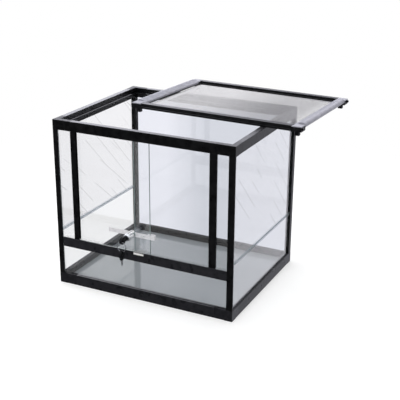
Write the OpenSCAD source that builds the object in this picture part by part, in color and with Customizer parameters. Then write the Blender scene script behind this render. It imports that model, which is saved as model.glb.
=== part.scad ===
// Front-opening glass terrarium in a knock-down black frame: eight corner connectors, rails and posts,
// grooved glass, two sliding glass doors with a ratchet lock, and a mesh lid that lies askew on top.
// Millimetres. Origin at the middle of the front bottom rail's underside, front towards -Y, up is +Z.

/* [Tank] */
// Overall width of the frame
tank_w = 500; // [430:5:620]
// Overall depth of the frame
tank_d = 400; // [340:5:490]
// Overall height of the frame, without the lid
tank_h = 447; // [380:1:540]

/* [Frame] */
// Width of the posts and of the bottom rails
post_w = 15.5; // [14:0.5:20]
// Height of the bottom rails
bottom_h = 28.5; // [26:0.5:36]
// Height of the top rails
top_h = 25.5; // [24:0.5:32]
// Thickness of the wall round the lid's recess
lid_wall = 15; // [13:0.5:18]
// Depth of the lid's recess below the top of the frame
recess_depth = 13.5; // [12:0.5:14]
// How far the ledge that carries the closed lid stands inside the wall
ledge_w = 5; // [4:0.5:8]
// Depth of the front top rail, which guides both doors
head_d = 30; // [24:1:36]
// Length of a corner connector along the width
connector_x = 50; // [40:1:60]
// Length of a corner connector along the depth
connector_y = 40; // [36:1:55]
// Length of the spigots that plug into rails and posts
spigot_len = 18; // [12:1:24]
// Wall of the hollow rails and posts
wall = 2; // [1.6:0.1:2.4]
// Chamfer on the outer edges of the frame
edge = 0.8; // [0.4:0.1:1.2]

/* [Glass] */
// Thickness of every pane and door
glass_t = 4; // [3:0.5:5]
// Distance from the frame's outer face to the glass
glass_inset = 4; // [3.5:0.5:5]
// Depth of the grooves in the rails
groove_rail = 8; // [6:0.5:9]
// Depth of the grooves in the posts
groove_post = 4.5; // [3.5:0.5:5]
// Height of the ledge that carries the floor pane
floor_z = 8; // [5:0.5:12]
// Width of the ledge that carries the floor pane
floor_ledge = 7; // [5:0.5:12]
// Height of the joint strip between the lower and upper side panes
strip_z = 150; // [120:1:200]
// Height of the joint strip's face
strip_h = 9; // [7:0.5:14]

/* [Front] */
// Height of the underside of the door sill
sill_z = 106.5; // [80:0.5:140]
// Height of the door sill
sill_h = 25.5; // [22:0.5:32]
// Distance from the end of a corner connector to an upright's outer side; they overlap where it is negative
upright_past = -1.5; // [-3:0.5:20]
// Width of an upright
upright_w = 16.5; // [12:0.5:22]
// Depth of an upright
upright_d = 6.7; // [6.2:0.1:8]
// Distance of an upright's face behind the face of the frame
upright_inset = 2.7; // [2:0.1:3.5]
// Width over which the two doors overlap
door_overlap = 40; // [20:1:80]
// Middle of the overlap, from the middle of the tank
door_middle = -1.5; // [-40:0.5:40]
// Gap between the two doors
door_gap = 4; // [4:0.5:6]
// Depth of the door slots in the sill
slot_low = 5; // [4:0.5:8]
// Depth of the door slots in the front top rail
slot_high = 9.5; // [8:0.5:9.5]
// Length of the white shoe on a door's inner corner
shoe_len = 28; // [16:1:40]
// Height of the white shoe
shoe_h = 3; // [2:0.5:8]
// Depth of the front shoe's lip over the sill's face
shoe_lip = 6; // [4:0.5:8]

/* [Lock] */
// Height of the lock's axis
lock_z = 176; // [160:1:260]
// Radius of the lock's case
lock_r = 9.5; // [9:0.25:12]
// How far the lock's case stands in front of the frame
lock_front = 22; // [14:0.5:28]
// Radius of the turning plug
plug_r = 5.5; // [4.5:0.25:6]
// Thickness of the toothed bar
bar_t = 1.6; // [1.2:0.1:2]
// Height of the toothed bar
bar_h = 11.5; // [9:0.5:14]
// Length of the toothed bar, from its free end to the door's edge
bar_reach = 118.5; // [90:0.5:150]
// How far the bar's hook passes the door's edge
hook_reach = 14; // [8:0.5:20]
// Pitch of the bar's teeth
tooth_pitch = 4; // [3:0.5:6]
// Depth of the bar's teeth
tooth_depth = 1.6; // [1:0.1:2]
// Length of a key's grip, along the blade
grip_len = 22; // [18:1:30]
// Height of a key's grip, across the blade
grip_h = 18; // [14:1:18]
// Thickness of a key's grip
grip_t = 6; // [4:0.5:7]
// Outer diameter of the key ring
ring_d = 27; // [22:0.5:34]
// Diameter of the key ring's wire
ring_wire = 1.6; // [1.2:0.1:2.4]

/* [Lid] */
// Width of the lid
lid_w = 466; // [390:1:580]
// Depth of the lid
lid_d = 366; // [300:1:450]
// Height of the lid's front and back rails
lid_h = 13.5; // [12:0.5:16]
// Depth of the lid's side rails below the top of its front and back rails
lid_side_h = 10; // [9:0.5:12]
// Height of the side rails' ribbed crown above the front and back rails
lid_crown = 4; // [2:0.5:6]
// Depth of the mesh below the top of the front and back rails
mesh_drop = 5.8; // [4.5:0.1:7]
// Width of the lid's front and back rails
lid_rail_w = 18; // [16:0.5:24]
// Width of the lid's side rails
lid_side_w = 26; // [22:0.5:30]
// Side of the lid's square corner blocks
lid_corner = 28; // [28:1:36]
// Length of the feet under the lid's corners
foot_len = 12; // [8:0.5:13]
// Left edge of the lid where it lies, from the tank's left side
lid_x = 126.5; // [60:0.1:160]
// Front edge of the lid where it lies, from the tank's front
lid_y = 177; // [120:0.1:220]
// Turn of the lid where it lies, seen from above
lid_turn = -0.24; // [-4:0.01:4]
// Gaps along the mesh's width
mesh_nx = 20; // [8:1:20]
// Gaps along the mesh's depth
mesh_ny = 15; // [6:1:15]
// Width of the mesh's strands
strand = 1.2; // [0.8:0.1:2]

/* [Fits] */
// Clearance on each side of fixed glass in its groove
glass_fit = 0.2; // [0.1:0.05:0.4]
// Clearance on each side of a sliding door in its slot
slide_fit = 0.6; // [0.3:0.05:1]
// Clearance round spigots and tongues
plug_fit = 0.15; // [0.1:0.05:0.3]
// Radial clearance of the turning plug
turn_fit = 0.05; // [0.02:0.01:0.1]
// Clearance of pieces that lie on or beside each other
seat_fit = 0.3; // [0.2:0.05:0.5]
// Open joint between a rail and a connector
seam = 0.3; // [0.1:0.05:0.5]

/* [Hidden] */

$fn = 48;
skin = 0.01;                                   // lets a cutter pass a face
half_w = tank_w / 2;
half_d = tank_d / 2;
top_z = tank_h - top_h;                        // underside of the top rails
ledge_h = top_h - recess_depth;                // height of the lid's ledge above that underside
sill_top = sill_z + sill_h;
upright_x = connector_x + upright_past;        // outer side of an upright, from the side of the tank
groove_a = glass_inset - glass_fit;            // near and far side of a fixed pane's groove
groove_b = glass_inset + glass_t + glass_fit;
post_hole = post_w - groove_post - 2 * wall - plug_fit;   // side of a post's square hollow
rail_hole_w = post_w - 2 * wall;               // hollow of a bottom rail
rail_hole_h = bottom_h - groove_rail - 2 * wall;
top_hole_w = lid_wall - 2 * wall;              // hollow of a top rail
top_hole_z = slot_high + wall;
top_hole_h = top_h - top_hole_z - wall;
rear_door_y = glass_inset + glass_t + door_gap;            // both doors stand behind the frame's face
sill_d = rear_door_y + glass_t + slide_fit + wall;
door_low = sill_top - slot_low + plug_fit * 2;
door_high = top_z + slot_high / 2;
door_side = half_w - upright_x - upright_w + groove_post - seat_fit;   // a closed door's outer edge
left_edge = door_middle + door_overlap / 2;    // inner edge of the left door, and of the right door
right_edge = door_middle - door_overlap / 2;
frame_black = [0.05, 0.05, 0.06];
glass_tint = [0.85, 0.92, 0.92, 0.35];
chrome = [0.80, 0.80, 0.82];

// ---- placing ----

// Moves the tank back, so that the origin is in the middle of the front bottom rail's underside
module placed() {
    translate([0, half_d - (post_w + floor_ledge) / 2, 0]) children();
}

// Puts a front-left piece at one of the four corners
module corner(right = false, back = false) {
    mirror([right ? 1 : 0, 0, 0]) mirror([0, back ? 1 : 0, 0]) children();
}

// Extrudes a section along X: section x runs inward from the front face, section y runs up
module along_x(x0, x1) {
    translate([x0, -half_d, 0]) rotate([90, 0, 90]) linear_extrude(x1 - x0) children();
}

// Extrudes a section along Y: section x runs inward from the left face, section y runs up
module along_y(y0, y1) {
    translate([-half_w, y1, 0]) rotate([90, 0, 0]) linear_extrude(y1 - y0) children();
}

// Box given by its low and high corners
module box(low, high) {
    translate(low) cube(high - low);
}

// ---- sections ----

// Bottom rail without its hollow: chamfered bar, floor ledge, glass groove from above
module bottom_section() {
    difference() {
        polygon([[edge, 0], [post_w + floor_ledge, 0], [post_w + floor_ledge, floor_z], [post_w, floor_z],
                 [post_w, bottom_h - 3 * edge], [post_w - 2 * edge, bottom_h], [edge, bottom_h],
                 [0, bottom_h - edge], [0, edge]]);
        translate([groove_a, bottom_h - groove_rail]) square([groove_b - groove_a, groove_rail + skin]);
    }
}

// Top rail without its hollow: wall round the recess and a ledge that reaches inward
module top_section(depth) {
    polygon([[0, edge], [edge, 0], [depth, 0], [depth, ledge_h - edge], [depth - edge, ledge_h],
             [lid_wall, ledge_h], [lid_wall, top_h - edge], [lid_wall - edge, top_h], [edge, top_h],
             [0, top_h - edge]]);
}

module top_groove() {
    translate([groove_a, -skin]) square([groove_b - groove_a, groove_rail + skin]);
}

// Slots of both doors, cut from below into the front top rail
module head_slots() {
    for (y = [glass_inset, rear_door_y])
        translate([y - slide_fit, -skin]) square([glass_t + 2 * slide_fit, slot_high + skin]);
}

module bottom_hole(fit = 0) {
    translate([wall + fit, wall + fit]) square([rail_hole_w - 2 * fit, rail_hole_h - 2 * fit]);
}

module top_hole(fit = 0) {
    translate([wall + fit, top_hole_z + fit]) square([top_hole_w - 2 * fit, top_hole_h - 2 * fit]);
}

// Square spigot that fills a post's hollow from below or above
module post_spigot(z0, z1) {
    low = wall + plug_fit;
    high = wall + post_hole - plug_fit;
    box([-half_w + low, -half_d + low, z0], [-half_w + high, -half_d + high, z1]);
}

// ---- frame ----

// Three-way connector under a post, with spigots into both rails and up the post
module bottom_connector(right, back) {
    color(frame_black) placed() corner(right, back) {
        difference() {
            union() {
                along_x(-half_w, -half_w + connector_x) bottom_section();
                along_y(-half_d, -half_d + connector_y) bottom_section();
                box([-half_w + edge, -half_d + edge, 0], [-half_w + post_w, -half_d + post_w, bottom_h]);
            }
            // the grooves stop under the post and don't cross at the corner
            box([-half_w + post_w - groove_post - glass_fit, -half_d + groove_a, bottom_h - groove_rail],
                [-half_w + connector_x + skin, -half_d + groove_b, bottom_h + skin]);
            box([-half_w + groove_a, -half_d + post_w - groove_post - glass_fit, bottom_h - groove_rail],
                [-half_w + groove_b, -half_d + connector_y + skin, bottom_h + skin]);
            // room for the floor pane's corner
            box([-half_w + post_w, -half_d + post_w, floor_z],
                [-half_w + connector_x, -half_d + connector_y, bottom_h]);
        }
        along_x(-half_w + connector_x - skin, -half_w + connector_x + spigot_len) bottom_hole(plug_fit);
        along_y(-half_d + connector_y - skin, -half_d + connector_y + spigot_len) bottom_hole(plug_fit);
        post_spigot(bottom_h - skin, bottom_h + spigot_len);
    }
}

// Three-way connector on a post, with spigots into both rails and down the post
module top_connector(right, back) {
    color(frame_black) placed() corner(right, back) translate([0, 0, top_z]) {
        difference() {
            union() {
                along_x(-half_w, -half_w + connector_x) top_section(lid_wall + ledge_w);
                along_y(-half_d, -half_d + connector_y) top_section(lid_wall + ledge_w);
                box([-half_w + edge, -half_d + edge, 0],
                    [-half_w + post_w, -half_d + post_w, ledge_h]);
            }
            box([-half_w + post_w - groove_post - glass_fit, -half_d + groove_a, -skin],
                [-half_w + connector_x + skin, -half_d + groove_b, groove_rail]);
            box([-half_w + groove_a, -half_d + post_w - groove_post - glass_fit, -skin],
                [-half_w + groove_b, -half_d + connector_y + skin, groove_rail]);
        }
        along_x(-half_w + connector_x - skin, -half_w + connector_x + spigot_len) top_hole(plug_fit);
        along_y(-half_d + connector_y - skin, -half_d + connector_y + spigot_len) top_hole(plug_fit);
        post_spigot(-spigot_len, skin);
    }
}

module bottom_rail_x(back) {
    end = half_w - connector_x - seam;
    color(frame_black) placed() corner(false, back) along_x(-end, end)
        difference() {
            bottom_section();
            bottom_hole();
        }
}

module bottom_rail_y(right) {
    end = half_d - connector_y - seam;
    color(frame_black) placed() corner(right) along_y(-end, end)
        difference() {
            bottom_section();
            bottom_hole();
        }
}

// Front top rail: deeper than the others, because both door slots run in its underside
module top_rail_front() {
    end = half_w - connector_x - seam;
    color(frame_black) placed() translate([0, 0, top_z]) along_x(-end, end)
        difference() {
            top_section(head_d);
            head_slots();
            top_hole();
            translate([rear_door_y + glass_t + slide_fit + wall, wall])
                square([head_d - rear_door_y - glass_t - slide_fit - 2 * wall, ledge_h - 2 * wall]);
        }
}

module top_rail_back() {
    end = half_w - connector_x - seam;
    color(frame_black) placed() corner(false, true) translate([0, 0, top_z])
        along_x(-end, end)
            difference() {
                top_section(lid_wall + ledge_w);
                top_groove();
                top_hole();
            }
}

module top_rail_y(right) {
    end = half_d - connector_y - seam;
    color(frame_black) placed() corner(right) translate([0, 0, top_z])
        along_y(-end, end)
            difference() {
                top_section(lid_wall + ledge_w);
                top_groove();
                top_hole();
            }
}

// Corner post: square tube with one groove for the side pane and one for the front or back pane
module post(right, back) {
    color(frame_black) placed() corner(right, back) translate([-half_w, -half_d, bottom_h + seam])
        linear_extrude(top_z - bottom_h - 2 * seam) difference() {
            polygon([[edge, 0], [post_w, 0], [post_w, post_w], [0, post_w], [0, edge]]);
            translate([post_w - groove_post, groove_a]) square([groove_post + skin, groove_b - groove_a]);
            translate([groove_a, post_w - groove_post]) square([groove_b - groove_a, groove_post + skin]);
            translate([wall, wall]) square(post_hole);
        }
}

// ---- front ----

// Sill between the front posts: door slots and sidelight groove on top, lower pane's groove below
module door_sill() {
    end = half_w - post_w;
    track = half_w - upright_x - groove_post;
    color(frame_black) placed() {
        difference() {
            along_x(-end, end) polygon([
                [0, sill_z + edge], [edge, sill_z], [sill_d, sill_z], [sill_d, sill_top],
                [edge, sill_top], [0, sill_top - edge]]);
            box([-end - skin, -half_d + glass_inset - slide_fit, sill_top - slot_low],
                [end + skin, -half_d + glass_inset + glass_t + slide_fit, sill_top + skin]);
            box([-track, -half_d + rear_door_y - slide_fit, sill_top - slot_low],
                [track, -half_d + rear_door_y + glass_t + slide_fit, sill_top + skin]);
            box([-end - skin, -half_d + groove_a, sill_z - skin],
                [end + skin, -half_d + groove_b, sill_z + groove_rail]);
            // hollow between the grooves
            box([-end - skin, -half_d + wall, sill_z + groove_rail + wall],
                [end + skin, -half_d + sill_d - wall, sill_top - slot_low - wall]);
        }
        for (side = [-1, 1])
            translate([side * (end + groove_post / 2 - plug_fit), -half_d + glass_inset + glass_t / 2,
                       (sill_z + groove_rail + sill_top - slot_low) / 2])
                cube([groove_post, glass_t, sill_top - slot_low - sill_z - groove_rail], center = true);
    }
}

// Upright between a sidelight and the doors, tongued into the sill and the front top rail
module upright(right) {
    x0 = -half_w + upright_x;
    y0 = -half_d + upright_inset;
    slot_mid = glass_inset + glass_t / 2;
    tongue_t = glass_t + 2 * slide_fit - 2 * plug_fit;
    color(frame_black) placed() corner(right) {
        translate([x0, y0, sill_top]) linear_extrude(top_z - sill_top) difference() {
            polygon([[edge, 0], [upright_w - edge, 0], [upright_w, edge], [upright_w, upright_d],
                     [0, upright_d], [0, edge]]);
            translate([-skin, groove_a - upright_inset])
                square([groove_post + skin, groove_b - groove_a]);
            translate([upright_w - groove_post, glass_inset - slide_fit - upright_inset])
                square([groove_post + skin, glass_t + 2 * slide_fit]);
        }
        for (ends = [[sill_top - slot_low + plug_fit, sill_top + skin],
                     [top_z - skin, top_z + slot_high - plug_fit]])
            box([x0 + groove_post + plug_fit, -half_d + slot_mid - tongue_t / 2, ends[0]],
                [x0 + upright_w - groove_post - plug_fit, -half_d + slot_mid + tongue_t / 2, ends[1]]);
    }
}

// ---- fixed glass ----

// Pane in the front or back plane
module pane_x(x0, x1, z0, z1, back = false) {
    color(glass_tint) placed() corner(false, back)
        box([x0, -half_d + glass_inset, z0], [x1, -half_d + glass_inset + glass_t, z1]);
}

// Pane in a side plane
module pane_y(z0, z1, right) {
    reach = half_d - post_w + groove_post - glass_fit;
    color(glass_tint) placed() corner(right)
        box([-half_w + glass_inset, -reach, z0], [-half_w + glass_inset + glass_t, reach, z1]);
}

pane_reach = half_w - post_w + groove_post - glass_fit;   // edge of a pane in the posts' grooves
pane_low = bottom_h - groove_rail + glass_fit;            // edge of a pane in the bottom rails
pane_high = top_z + groove_rail - glass_fit;              // edge of a pane in the top rails

module sidelight(right) {
    corner(right) pane_x(-pane_reach, -half_w + upright_x + groove_post - glass_fit,
                         sill_top - slot_low + plug_fit, pane_high);
}

module lower_front_pane() {
    pane_x(-pane_reach, pane_reach, pane_low, sill_z + groove_rail - glass_fit);
}

module back_pane() {
    pane_x(-pane_reach, pane_reach, pane_low, pane_high, true);
}

module floor_pane() {
    color(glass_tint) placed()
        box([-half_w + post_w + seat_fit, -half_d + post_w + seat_fit, floor_z],
            [half_w - post_w - seat_fit, half_d - post_w - seat_fit, floor_z + glass_t]);
}

module side_pane_lower(right) {
    pane_y(pane_low, strip_z - glass_fit - wall / 2, right);
}

module side_pane_upper(right) {
    pane_y(strip_z + glass_fit + wall / 2, pane_high, right);
}

// Clear H-shaped strip that joins the two side panes, pinched between the posts
module joint_strip(right) {
    reach = half_d - post_w - glass_fit;
    lip = 1.2;
    color([0.92, 0.94, 0.95]) placed() corner(right) difference() {
        box([-half_w + glass_inset - glass_fit - lip, -reach, strip_z - strip_h / 2],
            [-half_w + groove_b + lip, reach, strip_z + strip_h / 2]);
        for (z = [strip_z - strip_h, strip_z + wall / 2])
            box([-half_w + groove_a, -reach - skin, z], [-half_w + groove_b, reach + skin,
                                                        z + strip_h - wall / 2]);
    }
}

// ---- doors ----

// Glass door from x0 to x1 with its long edges chamfered
module door_glass(x0, x1, y0) {
    bevel = glass_t / 8;
    color(glass_tint) placed() translate([0, y0, door_low]) linear_extrude(door_high - door_low)
        polygon([[x0 + bevel, 0], [x1 - bevel, 0], [x1, bevel], [x1, glass_t - bevel],
                 [x1 - bevel, glass_t], [x0 + bevel, glass_t], [x0, glass_t - bevel], [x0, bevel]]);
}

// U-shaped shoe round a door's inner edge, just above the sill; it opens towards +X
module door_shoe(edge_x, y0, dir) {
    cheek = 1.2;
    gap = 0.05;
    color([0.93, 0.93, 0.93]) placed()
        translate([edge_x, y0 + glass_t / 2, sill_top + seat_fit])
            mirror([dir < 0 ? 1 : 0, 0, 0]) linear_extrude(shoe_h) difference() {
                translate([-cheek - gap, -glass_t / 2 - cheek]) square([shoe_len, glass_t + 2 * cheek]);
                translate([-gap, -glass_t / 2 - gap]) square([shoe_len, glass_t + 2 * gap]);
            }
}

module left_door() {
    door_glass(-door_side, left_edge, -half_d + rear_door_y);
}

module right_door() {
    door_glass(right_edge, door_side, -half_d + glass_inset);
}

module left_door_shoe() {
    door_shoe(left_edge, -half_d + rear_door_y, -1);
}

// The front shoe also hooks over the sill's face, as a finger lip
module right_door_shoe() {
    lip_t = 1.2;
    face = -half_d - seat_fit;
    low = sill_top + seat_fit;
    door_shoe(right_edge, -half_d + glass_inset, 1);
    color([0.93, 0.93, 0.93]) placed() translate([right_edge - lip_t - 0.05, 0, 0]) {
        box([0, face - lip_t, sill_top - shoe_lip], [shoe_len, face, low + lip_t]);
        box([0, face - lip_t, low], [shoe_len, -half_d + glass_inset - lip_t + skin, low + lip_t]);
    }
}

// ---- lock ----

bar_y = -half_d + glass_inset + glass_t + (door_gap - bar_t) / 2 - seat_fit;
bar_low = lock_z - bar_h / 2;
lock_x = right_edge - seat_fit - lock_r;
lock_y0 = -half_d - lock_front;                            // front face of the lock
lock_y1 = -half_d + rear_door_y - seat_fit;                // back face, just off the rear door
plug_len = bar_y - 1 - lock_y0;
grip_y = lock_y0 - grip_len / 2 - 5.5;                     // centre of the key's grip

// Toothed bar between the doors, folded round the rear door's edge into a hook
module ratchet_bar() {
    edge_x = left_edge;
    fold_r = (glass_t + 2 * (bar_t + 1.4)) / 2;
    fold_x = edge_x + hook_reach - fold_r;
    x0 = edge_x - bar_reach;
    teeth = floor((right_edge - x0 - 6) / tooth_pitch);
    color(chrome) placed() difference() {
        translate([0, 0, bar_low]) linear_extrude(bar_h) {
            translate([x0, bar_y]) square([fold_x - x0, bar_t]);
            translate([edge_x - 8, bar_y + 2 * fold_r - bar_t]) square([fold_x - edge_x + 8, bar_t]);
            translate([fold_x, bar_y + fold_r]) difference() {
                circle(fold_r);
                circle(fold_r - bar_t);
                translate([-2 * fold_r, -2 * fold_r]) square([2 * fold_r, 4 * fold_r]);
            }
        }
        // saw teeth along the lower edge
        translate([0, bar_y - skin, bar_low]) for (i = [0 : teeth - 1])
            translate([x0 + 4 + i * tooth_pitch, 0, -skin]) rotate([-90, 0, 0])
                linear_extrude(bar_t + 2 * skin)
                    polygon([[0, 0], [tooth_pitch, 0], [0, -tooth_depth]]);
        // square punch mark near the hook
        translate([edge_x - 16, bar_y - skin, lock_z]) rotate([-90, 0, 0])
            linear_extrude(bar_t + 2 * skin) square(3, center = true);
    }
}

// Round case with a waist ring, bored for the plug and slotted for the bar
module lock_case() {
    slot = 0.25;
    color(chrome) placed() difference() {
        translate([lock_x, lock_y0, lock_z]) rotate([-90, 0, 0]) rotate_extrude()
            polygon([[0, 0], [lock_r - 1.6, 0], [lock_r - 0.6, 0.8], [lock_r - 0.6, 4], [lock_r - 1.2, 4.6],
                     [lock_r, 5.6], [lock_r, lock_y1 - lock_y0 - 0.6], [lock_r - 0.6, lock_y1 - lock_y0],
                     [0, lock_y1 - lock_y0]]);
        translate([lock_x, lock_y0 - skin, lock_z]) rotate([-90, 0, 0]) cylinder(r = plug_r, h = plug_len);
        box([lock_x - lock_r - 1, bar_y - slot, bar_low - slot],
            [lock_x + lock_r + 1, bar_y + bar_t + slot, bar_low + bar_h + slot]);
    }
}

// Turning plug with the keyway through its face
module lock_plug() {
    color([0.55, 0.55, 0.57]) placed() difference() {
        translate([lock_x, lock_y0 - 0.4, lock_z]) rotate([-90, 0, 0])
            cylinder(r = plug_r - turn_fit, h = plug_len - 0.2);
        box([lock_x - 1.2, lock_y0 - 1, lock_z - 4],
            [lock_x + 1.2, lock_y0 + plug_len - 2, lock_z + 4]);
    }
}

// Flat steel blade with its cuts on one edge; y = 0 is where the grip begins, the tip points to +Y
module blade(len, t) {
    rotate([0, -90, 0]) linear_extrude(t, center = true)
        polygon([[-3.6, 0], [3.6, 0], [3.6, len - 3], [2, len], [-1.4, len], [-2.4, len - 1.6],
                 [-2.0, len - 3.2], [-2.9, len - 5], [-2.1, len - 7], [-3.1, len - 9], [-3.6, len - 10.5]]);
}

eyelet_r = 3.2;
eyelet_end = 5.2;                                          // eyelet's centre from the grip's outer end
key_len = 24;                                              // blade, from its root to its tip
grip_root = grip_len / 2 - 5;                              // grip's centre to the root of the blade
hole_drop = grip_len / 2 - eyelet_end;                     // grip's centre to its eyelet

// Moulded grip in the YZ plane with an eyelet at the outer end; the blade leaves towards +Y
module grip() {
    r = grip_h / 2;
    run = grip_len - grip_h;
    rotate([0, -90, 0]) difference() {
        union() {
            for (y = [-run / 2, run / 2])
                translate([0, y, 0]) cylinder(r = r, h = grip_t, center = true);
            cube([grip_h, run, grip_t], center = true);
            // square neck round the blade
            translate([-5, 0, -grip_t / 2]) cube([10, grip_len / 2 + 3, grip_t]);
            // raised panel on both sides
            translate([0, run / 2, 0]) cylinder(r = r - 3, h = grip_t + 1.2, center = true);
        }
        translate([0, -hole_drop, 0]) cylinder(r = eyelet_r, h = grip_t * 3, center = true);
        // the blade's root
        translate([-3.6 - plug_fit, grip_root, -1 - plug_fit])
            cube([7.2 + 2 * plug_fit, 10, 2 + 2 * plug_fit]);
    }
}

// The key in the lock lies level, with its eyelet at the front end
module key_blade() {
    color(chrome) placed() translate([lock_x, grip_y + grip_root + plug_fit, lock_z]) blade(key_len, 2);
}

module key_grip() {
    color("black") placed() translate([lock_x, grip_y, lock_z]) grip();
}

ring_r = (ring_d - ring_wire) / 2;
ring_sag = ring_r - sqrt(ring_r * ring_r - grip_t * grip_t / 4);   // bend of the ring within an eyelet
wire_drop = eyelet_r - ring_wire / 2 - ring_sag - 0.15;    // wire's centre below or above an eyelet's
ring_y = grip_y - hole_drop;
spare_z = lock_z - 2 * wire_drop - 2 * ring_r - hole_drop; // centre of the spare key's grip

// Ring through both eyelets, hanging from the first
module key_ring() {
    color(chrome) placed() translate([lock_x, ring_y, lock_z - wire_drop - ring_r])
        rotate([90, 0, 0]) rotate_extrude() translate([ring_r, 0]) circle(d = ring_wire, $fn = 24);
}

// Spare key: the same two pieces, hanging with its blade down
module spare_blade() {
    color(chrome) placed() translate([lock_x, ring_y, spare_z - grip_root - plug_fit])
        rotate([-90, 0, 0]) blade(key_len, 2);
}

module spare_grip() {
    color("black") placed() translate([lock_x, ring_y, spare_z]) rotate([-90, 0, 0]) grip();
}

// ---- lid ----

// The lid lies on three places: its left rail on the tank's back, its front rail on the tank's
// right side and its mesh on the tank's corner between them
mesh_t = 0.8;
spline_t = 1.4;
mesh_top = -mesh_drop;
mesh_under = mesh_drop + mesh_t;
spline_under = mesh_under + spline_t;
lid_over_x = tank_w - lid_x;                               // lid's left edge to the tank's right side
lid_over_y = tank_d - lid_y;                               // lid's front edge to the tank's back
lid_tilt = atan((lid_h - mesh_under) / (lid_over_y - lid_rail_w));
lid_roll = atan((lid_side_h - mesh_under) / (lid_over_x - lid_side_w));
lid_top_z = tank_h + seat_fit + lid_h + lid_rail_w * tan(lid_tilt) + lid_over_x * tan(lid_roll);
mesh_in_x = lid_side_w - 4;                                // edge of the mesh under the side rails
mesh_in_y = lid_rail_w - 4;                                // edge of the mesh in the front and back rails
cap_t = 2.2;                                               // skin of a side rail that runs over the corners

// Lid pieces are drawn with the front-left top corner at the origin, then laid on the tank
module on_lid() {
    translate([-half_w + lid_x, -half_d + lid_y, lid_top_z]) rotate([-lid_tilt, lid_roll, lid_turn])
        children();
}

// Puts a front-left lid piece at one of the lid's corners
module lid_side(right = false, back = false) {
    translate([right ? lid_w : 0, back ? lid_d : 0, 0])
        mirror([right ? 1 : 0, 0, 0]) mirror([0, back ? 1 : 0, 0]) children();
}

// Side rail: half-round outside, ribbed slope inside, rebate below for the mesh and its spline
module lid_side_section() {
    r = (lid_side_h + lid_crown) / 2;
    brow = r + 2;                                          // where the slope begins
    fall = lid_crown + 1.2;
    run = lid_side_w - brow;
    ribs = 5;
    translate([r, lid_crown - r]) circle(r);
    polygon([[r, -lid_side_h], [mesh_in_x - glass_fit, -lid_side_h],
             [mesh_in_x - glass_fit, mesh_top + glass_fit], [lid_side_w, mesh_top + glass_fit],
             [lid_side_w, lid_crown - fall], [brow, lid_crown], [r, lid_crown]]);
    for (i = [0.5 : ribs])
        translate([brow + i * run / ribs, lid_crown - i * fall / ribs]) circle(0.55, $fn = 16);
}

module lid_rail_side(right) {
    color([0.62, 0.62, 0.68]) placed() on_lid() lid_side(right) {
        translate([0, lid_d - lid_corner, 0]) rotate([90, 0, 0])
            linear_extrude(lid_d - 2 * lid_corner) lid_side_section();
        // its top skin runs on over both corner blocks
        for (y = [lid_corner, lid_d])
            translate([0, y, 0]) rotate([90, 0, 0]) linear_extrude(lid_corner) intersection() {
                lid_side_section();
                translate([0, -cap_t]) square([lid_side_w, cap_t]);
            }
    }
}

// Front or back rail: a bar with a channel along its face and a slot for the mesh
module lid_rail_x(back) {
    color(frame_black) placed() on_lid() lid_side(false, back)
        translate([lid_corner, 0, 0]) rotate([90, 0, 90])
            linear_extrude(lid_w - 2 * lid_corner) difference() {
                polygon([[0, -0.8], [0.8, 0], [lid_rail_w, 0], [lid_rail_w, -lid_h], [0, -lid_h],
                         [0, -lid_h + 4.5], [0.9, -lid_h + 5.2], [0.9, -4.6], [0, -3.9]]);
                translate([mesh_in_y - glass_fit, -spline_under - glass_fit])
                    square([10, spline_t + mesh_t + 2 * glass_fit]);
            }
}

// Corner block with its foot, a finger nub outside and a notch for the mesh
module lid_corner_block(right, back) {
    foot_in = 9;
    color("black") placed() on_lid() lid_side(right, back) {
        difference() {
            box([0, 0, -lid_h], [lid_corner, lid_corner, -cap_t - plug_fit]);
            box([mesh_in_x - glass_fit, mesh_in_y - glass_fit, -spline_under - glass_fit],
                [lid_corner + skin, lid_corner + skin, mesh_top + glass_fit]);
        }
        // filler between the two rails' skins
        box([lid_side_w + plug_fit, 0, -cap_t - 1], [lid_corner, lid_rail_w, 0]);
        translate([foot_in, foot_in, -lid_h - foot_len]) cube([11, 11, foot_len + skin]);
        // rounded nub that stands out beyond the side
        translate([0, 6, -lid_h / 2]) intersection() {
            rotate([90, 0, 0]) cylinder(r = 4.2, h = 6, center = true);
            translate([-6, -4, -3]) cube([7, 8, 8]);
        }
    }
}

// Woven net drawn as a plate with square gaps
module lid_mesh() {
    net_w = lid_w - 2 * mesh_in_x;
    net_d = lid_d - 2 * mesh_in_y;
    gap_x = (net_w - strand) / mesh_nx;
    gap_y = (net_d - strand) / mesh_ny;
    color([0.5, 0.5, 0.52]) placed() on_lid() translate([mesh_in_x, mesh_in_y, mesh_top - mesh_t])
        linear_extrude(mesh_t) difference() {
            square([net_w, net_d]);
            for (i = [0 : mesh_nx - 1], j = [0 : mesh_ny - 1])
                translate([strand + i * gap_x, strand + j * gap_y]) square([gap_x - strand, gap_y - strand]);
        }
}

// Black strip all round under the mesh's edge
module lid_spline() {
    width = 6.5;
    color(frame_black) placed() on_lid() translate([0, 0, -spline_under])
        linear_extrude(spline_t) difference() {
            translate([mesh_in_x, mesh_in_y]) square([lid_w - 2 * mesh_in_x, lid_d - 2 * mesh_in_y]);
            translate([mesh_in_x + width, mesh_in_y + width])
                square([lid_w - 2 * (mesh_in_x + width), lid_d - 2 * (mesh_in_y + width)]);
        }
}

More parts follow.
